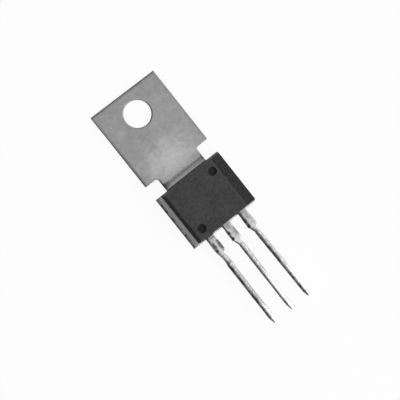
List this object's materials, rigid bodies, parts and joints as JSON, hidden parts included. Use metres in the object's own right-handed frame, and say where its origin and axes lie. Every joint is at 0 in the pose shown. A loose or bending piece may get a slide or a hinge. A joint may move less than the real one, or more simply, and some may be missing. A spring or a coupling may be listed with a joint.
{
  "type": "power transistor",
  "caption": "Power transistor: moulded epoxy block on a stamped metal tab with a mounting hole and a notched neck, with tinned leads for soldering through a board.",
  "frame": {"origin": "centre of the mounting hole, on the back face of the tab", "axes": "+X to the right seen from the front face, +Y from the leads towards the free end of the tab, +Z out of the front face; the part lies on its back"},
  "size_m": [0.0098, 0.034, 0.0045],
  "materials": {
    "header_metal": "dull nickel plate on copper, faintly mottled",
    "epoxy": "moulded black epoxy, fine matt texture",
    "tinned_lead": "tin plate, with a bright solder dip on the lower part",
    "silicon": "polished silicon",
    "solder": "dull solder",
    "bond_wire": "bare aluminium wire"
  },
  "bodies": {
    "root": {"header": "header_metal", "body": "epoxy", "base_lead": "tinned_lead", "collector_lead": "tinned_lead", "emitter_lead": "tinned_lead", "die": "silicon", "die_solder": "solder", "foot_solder": "solder", "base_wire": "bond_wire", "emitter_wire": "bond_wire"}
  },
  "joints": []
}
